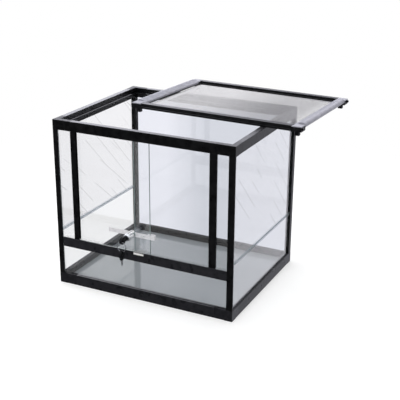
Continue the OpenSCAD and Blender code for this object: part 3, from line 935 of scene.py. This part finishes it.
@dataclass(frozen=True)
class FrontPost:
    """Section of a front post, by distances inward from the tank's side.

    The strip is the width of its face, and the core lies behind the strip.
    """

    name: str
    side: int
    strip: float
    core: Span
    strip_depth: float = 0.0026
    depth: float = 0.0153

    def outline(self, face: float) -> list[Point]:
        """Outlines the post.

        Args:
            face: the front face's place along Y.

        Returns:
            The outline, as X and Y.
        """
        near, far = self.core
        behind, back = face + self.strip_depth, face + self.depth
        points = [
            (0.0, face), (self.strip, face), (self.strip, behind), (far, behind), (far, back),
            (near, back), (near, behind)]
        if near:
            points.append((0.0, behind))
        return [(self.side * (TANK_WIDTH / 2 - inward), y) for inward, y in points]


@dataclass(frozen=True)
class UprightSection:
    """Section of the right upright: its sides, and depths from the middle of its face strip."""

    left: float = 0.185
    right: float = 0.2015
    inset: float = 0.0027
    strip_past: Span = (0.0016, 0.0008)
    strip: Span = (-0.0008, 0.0004)
    groove: Span = (0.0011, 0.0055)
    groove_depth: float = 0.0045
    depth: float = 0.0067

    def outline(self, face: float) -> list[Point]:
        """Outlines the upright, with a groove for the glass on either side.

        Args:
            face: the front face's place along Y.

        Returns:
            The outline, as X and Y.
        """
        at = face + self.inset
        left, right, back = self.left, self.right, at + self.depth
        strip_left, strip_right = left - self.strip_past[0], right + self.strip_past[1]
        deep_left, deep_right = left + self.groove_depth, right - self.groove_depth
        front, behind = (at + depth for depth in self.strip)
        near, far = (at + depth for depth in self.groove)
        return [
            (strip_left, front), (strip_right, front), (strip_right, behind), (right, behind),
            (right, near), (deep_right, near), (deep_right, far), (right, far), (right, back),
            (left, back), (left, far), (deep_left, far), (deep_left, near), (left, near),
            (left, behind), (strip_left, behind)]


@dataclass
class TankFrame:
    """Black connectors, rails, posts, sill and uprights."""

    black: Colour = (0.003, 0.003, 0.0035)
    # painted light: a lighter copy of the frame black for the sill, lower rails and bottom
    # connectors
    lit_black: Colour = (0.014, 0.014, 0.017)
    face: float = -TANK_DEPTH / 2 + SET_BACK
    sill: SillSection = SillSection()
    sill_span: Span = (-0.2343, 0.2343)
    posts: tuple[FrontPost, ...] = (
        FrontPost("fl", -1, 0.0134, (0.0, 0.0064)),
        FrontPost("fr", 1, 0.0168, (0.0076, 0.0155)),
    )
    post_span: Span = (0.0286, 0.4214)
    upright: UprightSection = UprightSection()
    upright_span: Span = (0.1321, 0.4214)

    def make_sill(self, black: Material) -> None:
        """Makes the sill: a black profile in front and below, a clear door track behind its lip.

        Args:
            black: the profile's material.
        """
        cover, track = self.sill.cover(self.face), self.sill.track(self.face)
        profile = bevelled_bar("sill_profile", cover, self.sill_span, black)
        add_piece(profile, "tank", ["door_sill"])
        clear = ClearPlastic("track_plastic", tint=(0.995, 0.995, 0.995), shine=0.03).build()
        insert = bevelled_bar("sill_track", track, self.sill_span, clear)
        add_piece(insert, "tank")

    def make_front_posts(self, black: Material) -> None:
        """Makes the front posts as they look: a face strip with the core set back behind it.

        Args:
            black: the profile's material.
        """
        for post in self.posts:
            mesh = bevelled_bar(
                f"post_{post.name}_profile", post.outline(self.face), self.post_span, black,
                Axis.Z)
            add_piece(mesh, "tank", [f"post_{post.name}"])

    def make_right_upright(self, black: Material) -> None:
        """Makes the right upright with the wider face strip that it shows.

        Args:
            black: the profile's material.
        """
        mesh = bevelled_bar(
            "upright_right_profile", self.upright.outline(self.face), self.upright_span, black,
            Axis.Z, bevel=0.0001)
        add_piece(mesh, "tank", ["upright_right"])

    def build(self) -> None:
        """Dresses every node of the frame and makes the profiles."""
        high, top = {}, {}
        for axis in Axis:
            name = f"black_profile_{axis.name.lower()}"
            high[axis] = Extruded(name, self.black, axis, specular=0.1).build()
        # the top rails carry painted top light on their upward faces
        for axis in (Axis.X, Axis.Y):
            name = f"black_top_{axis.name.lower()}"
            top[axis] = Extruded(name, self.black, axis, specular=0.12, top_light_and_dust=0.7).build()
        joint, low_joint = (
            Moulded(name, colour, roughness=0.32, specular=0.12).build()
            for name, colour in (
                ("black_connector", self.black), ("black_low_connector", self.lit_black)))
        front = Extruded("black_low_front", self.lit_black, Axis.X, top_light_and_dust=1.0)
        sill = Extruded("black_sill", self.lit_black, Axis.X).build()
        left = Extruded("black_low_left", self.lit_black, Axis.Y, specular=0.4, sheen_scale=12.0)
        corners = ("fl", "fr", "bl", "br")
        dress(joint, *(f"top_connector_{corner}" for corner in corners))
        dress(low_joint, *(f"bottom_connector_{corner}" for corner in corners))
        dress(high[Axis.Z], *(f"post_{corner}" for corner in corners))
        dress(high[Axis.Z], "upright_left", "upright_right")
        dress(high[Axis.X], "bottom_rail_back")
        dress(high[Axis.Y], "bottom_rail_right")
        dress(top[Axis.X], "top_rail_front", "top_rail_back")
        dress(top[Axis.Y], "top_rail_left", "top_rail_right")
        dress(front.build(), "bottom_rail_front")
        dress(left.build(), "bottom_rail_left")
        dress(sill, "door_sill")
        self.make_sill(sill)
        self.make_front_posts(high[Axis.Z])
        self.make_right_upright(high[Axis.Z])


@dataclass
class Glazing:
    """All the panes, the doors, their shoes and the strips between the side panes."""

    # lines of painted reflection on the upper side panes
    reflections: tuple[ReflectionLines, ...] = (ReflectionLines(1.0, 0.052, 0.013), ReflectionLines(0.8, 0.083, 0.02))
    strip_seam: float = 0.1462
    lip_top: float = 0.1306

    def build(self) -> None:
        """Dresses every pane and what is clipped to it."""
        front = FloatGlass("glass_front", Axis.Y, (0.975, 0.98, 0.985))
        # painted shade: the back pane darkens towards its right
        back = FloatGlass(
            "glass_back", Axis.Y, (0.84, 0.85, 0.92),
            shaded_tint=(0.66, 0.68, 0.745), shade_span=(-0.14, -0.02))
        sidelight = FloatGlass("glass_sidelight", Axis.Y, (0.96, 0.965, 0.97))
        lower = FloatGlass("glass_side_lower", Axis.X, (0.99, 0.99, 0.995))
        left = FloatGlass(
            "glass_side_left", Axis.X, (0.905, 0.90, 0.915), reflections=self.reflections)
        right = FloatGlass(
            "glass_side_right", Axis.X, (0.97, 0.965, 0.965), reflections=self.reflections)
        strip = ClearPlastic("clear_strip", seam_at=self.strip_seam)
        clear_shoe = ShoePlastic("clear_shoe", white_below=-1.0)
        white_shoe = ShoePlastic("white_lipped_shoe", white_below=self.lip_top)
        dress(front.build(), "left_door", "right_door", "sidelight_left", "lower_front_pane")
        dress(sidelight.build(), "sidelight_right")
        dress(back.build(), "back_pane")
        dress(lower.build(), "side_pane_lower_left", "side_pane_lower_right")
        dress(left.build(), "side_pane_upper_left")
        dress(right.build(), "side_pane_upper_right")
        dress(ShadedFloorGlass("glass_floor").build(), "floor_pane")
        dress(strip.build(), "joint_strip_left", "joint_strip_right")
        dress(clear_shoe.build(), "left_door_shoe")
        dress(white_shoe.build(), "right_door_shoe")


@dataclass
class Lock:
    """Toothed bar, lock case with its plug, and the two keys on their ring."""

    def build(self) -> None:
        """Dresses the lock and the keys."""
        chrome = Plated("bright_chrome", (0.92, 0.92, 0.93), roughness=0.1)
        satin = Plated("satin_bar", (0.97, 0.95, 0.98), roughness=0.35, metallic=0.12)
        nickel = Plated("nickelled_steel", (0.4, 0.4, 0.41), roughness=0.22)
        grip = Moulded("key_grip_black", (0.004, 0.004, 0.005), roughness=0.4, specular=0.15)
        dress(chrome.build(), "lock_case")
        dress(satin.build(), "ratchet_bar")
        dress(nickel.build(), "key_blade", "spare_blade")
        dress(grip.build(), "key_grip", "spare_grip")
        # painted shade: the plug is dark to stand for the shade in its keyhole
        dress(Plated("plug_painted_shade", (0.1, 0.1, 0.11)).build(), "lock_plug")
        dress(Plated("ring_steel", (0.3, 0.3, 0.31)).build(), "key_ring")


class WireNet(Tree):
    """Geometry Nodes that weave a net: one wire repeated along both sides, dipping at the rim."""

    WIRE_SIDES = 4
    WIRE_SEGMENTS = 60
    LAYER_LIFT = 0.35

    def __init__(self, sizes: dict[str, float], finish: Material) -> None:
        """Draws the node group.

        Args:
            sizes: Width, Depth, Pitch, Wire, Sag and Reach, in metres.
            finish: the wire's material.
        """
        super().__init__(bpy.data.node_groups.new("wire_net", "GeometryNodeTree"))
        interface = self.tree.interface
        interface.new_socket("Geometry", in_out="OUTPUT", socket_type="NodeSocketGeometry")
        self.values = {}
        for name, value in sizes.items():
            socket = interface.new_socket(name, in_out="INPUT", socket_type="NodeSocketFloat")
            self.values[socket.identifier] = value
        self.given = self.add("NodeGroupInput").outputs
        join = self.add("GeometryNodeJoinGeometry")
        self.feed(join.inputs[0], self.layer("Width", "Depth", Axis.Y))
        self.feed(join.inputs[0], self.layer("Depth", "Width", Axis.X))
        real = self.add("GeometryNodeRealizeInstances")
        self.feed(real.inputs[0], join.outputs[0])
        lower = self.add("GeometryNodeSetPosition")
        self.fill(lower, Geometry=real.outputs[0], Offset=self.vector(0.0, 0.0, self.dip()))
        paint = self.add("GeometryNodeSetMaterial")
        self.fill(paint, Geometry=lower.outputs[0], Material=finish)
        self.feed(self.add("NodeGroupOutput").inputs[0], paint.outputs[0])

    def vector(self, *parts: object) -> Socket:
        """Adds a Combine XYZ node.

        Args:
            *parts: X, Y and Z, each a number or a socket.

        Returns:
            The vector.
        """
        node = self.add("ShaderNodeCombineXYZ")
        for target, value in zip(node.inputs, parts):
            self.feed(target, value)
        return node.outputs[0]

    def layer(self, span: str, length: str, along: Axis) -> Socket:
        """Lays one layer of wires side by side.

        Args:
            span: the name of the size that the layer covers.
            length: the name of the size that gives each wire's length.
            along: the axis that the wires lie along, X or Y.

        Returns:
            The wires, as instances.
        """
        along_x = along is Axis.X
        count = self.math("FLOOR", self.math("DIVIDE", self.given[span], self.given["Pitch"]))
        step = self.math("DIVIDE", self.given[span], count)
        half = self.math("MULTIPLY", self.given[length], 0.5)
        side = self.LAYER_LIFT if along_x else -self.LAYER_LIFT
        lift = self.math("MULTIPLY", self.given["Wire"], side)
        line = self.add("GeometryNodeMeshLine", mode="OFFSET")
        self.fill(
            line, Count=self.math("ADD", count, 1.0),
            Offset=self.vector(*((0.0, step) if along_x else (step, 0.0)), 0.0),
            Start_Location=self.vector(*((half, 0.0) if along_x else (0.0, half)), lift))
        rod = self.add("GeometryNodeMeshCylinder", fill_type="NGON")
        self.fill(
            rod, Vertices=self.WIRE_SIDES, Side_Segments=self.WIRE_SEGMENTS,
            Radius=self.math("MULTIPLY", self.given["Wire"], 0.5), Depth=self.given[length])
        quarter = math.pi / 2
        copies = self.add("GeometryNodeInstanceOnPoints")
        self.fill(
            copies, Points=line.outputs["Mesh"], Instance=rod.outputs["Mesh"],
            Rotation=(0.0, quarter, 0.0) if along_x else (quarter, 0.0, 0.0))
        return copies.outputs["Instances"]

    def dip(self) -> Socket:
        """Works out how far the net goes down: not at all inside, by Sag at the rim.

        Returns:
            The offset along Z.
        """
        place = self.add("GeometryNodeInputPosition").outputs[0]
        rims = []
        for axis, size in ((Axis.X, "Width"), (Axis.Y, "Depth")):
            at = self.along(axis, place)
            rims.append(self.math("MINIMUM", at, self.math("SUBTRACT", self.given[size], at)))
        inward = self.math("DIVIDE", self.math("MINIMUM", *rims), self.given["Reach"])
        ease = self.spread(inward, 0.0, 1.0, smooth=True)
        return self.math("MULTIPLY", self.math("SUBTRACT", ease, 1.0), self.given["Sag"])

    def mesh(self, name: str) -> Mesh:
        """Runs the group and keeps its result.

        Args:
            name: the mesh's name.

        Returns:
            The net's mesh, with one corner at the origin.
        """
        maker = new_object("net_maker", bpy.data.meshes.new("net_maker"))
        modifier = maker.modifiers.new("net", "NODES")
        modifier.node_group = self.tree
        for identifier, value in self.values.items():
            modifier[identifier] = value
        bpy.context.view_layer.update()
        graph = bpy.context.evaluated_depsgraph_get()
        made = bpy.data.meshes.new_from_object(maker.evaluated_get(graph))
        maker.modifiers.clear()
        bpy.data.objects.remove(maker)
        made.name = name
        return made


@dataclass
class Lid:
    """Mesh lid that lies askew on the tank."""

    width: float = 0.466
    depth: float = 0.366
    from_left: float = 0.1265
    from_front: float = 0.177
    turn: float = -0.24
    seat: float = 0.0003
    rail_height: float = 0.0135
    rail_width: float = 0.018
    side_height: float = 0.010
    side_width: float = 0.026
    mesh_drop: float = 0.0058
    mesh_under: float = 0.0066
    pitch: float = 0.0021
    wire: float = 0.00037
    sag: float = 0.0046
    sag_reach: float = 0.03
    black: Colour = (0.006, 0.006, 0.007)

    def place(self) -> Matrix:
        """Finds where the lid lies.

        Returns:
            The matrix for what is drawn with the lid's front left top corner at the origin.
        """
        over_x, over_y = TANK_WIDTH - self.from_left, TANK_DEPTH - self.from_front
        tilt = math.atan((self.rail_height - self.mesh_under) / (over_y - self.rail_width))
        roll = math.atan((self.side_height - self.mesh_under) / (over_x - self.side_width))
        rise = self.rail_width * math.tan(tilt) + over_x * math.tan(roll)
        corner = (
            -TANK_WIDTH / 2 + self.from_left,
            -TANK_DEPTH / 2 + self.from_front + SET_BACK,
            TANK_HEIGHT + self.seat + self.rail_height + rise,
        )
        turned = Matrix.Rotation(math.radians(self.turn), 4, "Z") @ Matrix.Rotation(roll, 4, "Y")
        return Matrix.Translation(corner) @ turned @ Matrix.Rotation(-tilt, 4, "X")

    def make_net(self) -> None:
        """Weaves the net and lays it between the rails."""
        sizes = {
            "Width": self.width - 2 * self.side_width,
            "Depth": self.depth - 2 * self.rail_width,
            "Pitch": self.pitch,
            "Wire": self.wire,
            "Sag": self.sag,
            "Reach": self.sag_reach,
        }
        net = WireNet(sizes, Wire("drawn_wire").build()).mesh("lid_net")
        inset = Matrix.Translation((self.side_width, self.rail_width, -self.mesh_drop - self.wire))
        net.transform(self.place() @ inset)
        add_piece(net, "lid", ["lid_mesh"])

    def build(self) -> None:
        """Dresses the lid and adds its net."""
        silver = Extruded(
            "lid_side_profile", (0.3, 0.3, 0.34), Axis.Y, roughness=0.45, specular=0.12)
        # the lid's front and back rails carry painted top light on their upward faces
        black = Extruded(
            "lid_front_profile", self.black, Axis.X, roughness=0.45, specular=0.06, top_light_and_dust=0.8)
        corner = Moulded("lid_corner_black", self.black, specular=0.1)
        rubber = Moulded("spline_rubber", (0.02, 0.02, 0.021), roughness=0.6)
        dress(silver.build(), "lid_rail_left", "lid_rail_right")
        dress(black.build(), "lid_rail_front", "lid_rail_back")
        dress(corner.build(), *(f"lid_corner_{place}" for place in ("fl", "fr", "bl", "br")))
        dress(rubber.build(), "lid_spline")
        dress(Wire("wire_under").build(), "lid_mesh")
        self.make_net()


def write_sizes() -> None:
    """Works out the construction's box and the finished model's box."""
    sizes = {"cad": CAD_BOX, "visual": [list(corner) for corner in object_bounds()]}
    sizes = {name: [[float(v) for v in corner] for corner in box] for name, box in sizes.items()}


def main() -> None:
    """Builds the studio and every sub-assembly in order."""
    logging.basicConfig(level=logging.INFO, format="%(message)s")
    for part in (Studio(), TankFrame(), Glazing(), Lock(), Lid()):
        part.build()
        LOG.info("built %s", type(part).__name__)
    write_sizes()


if __name__ == "__main__":
    main()
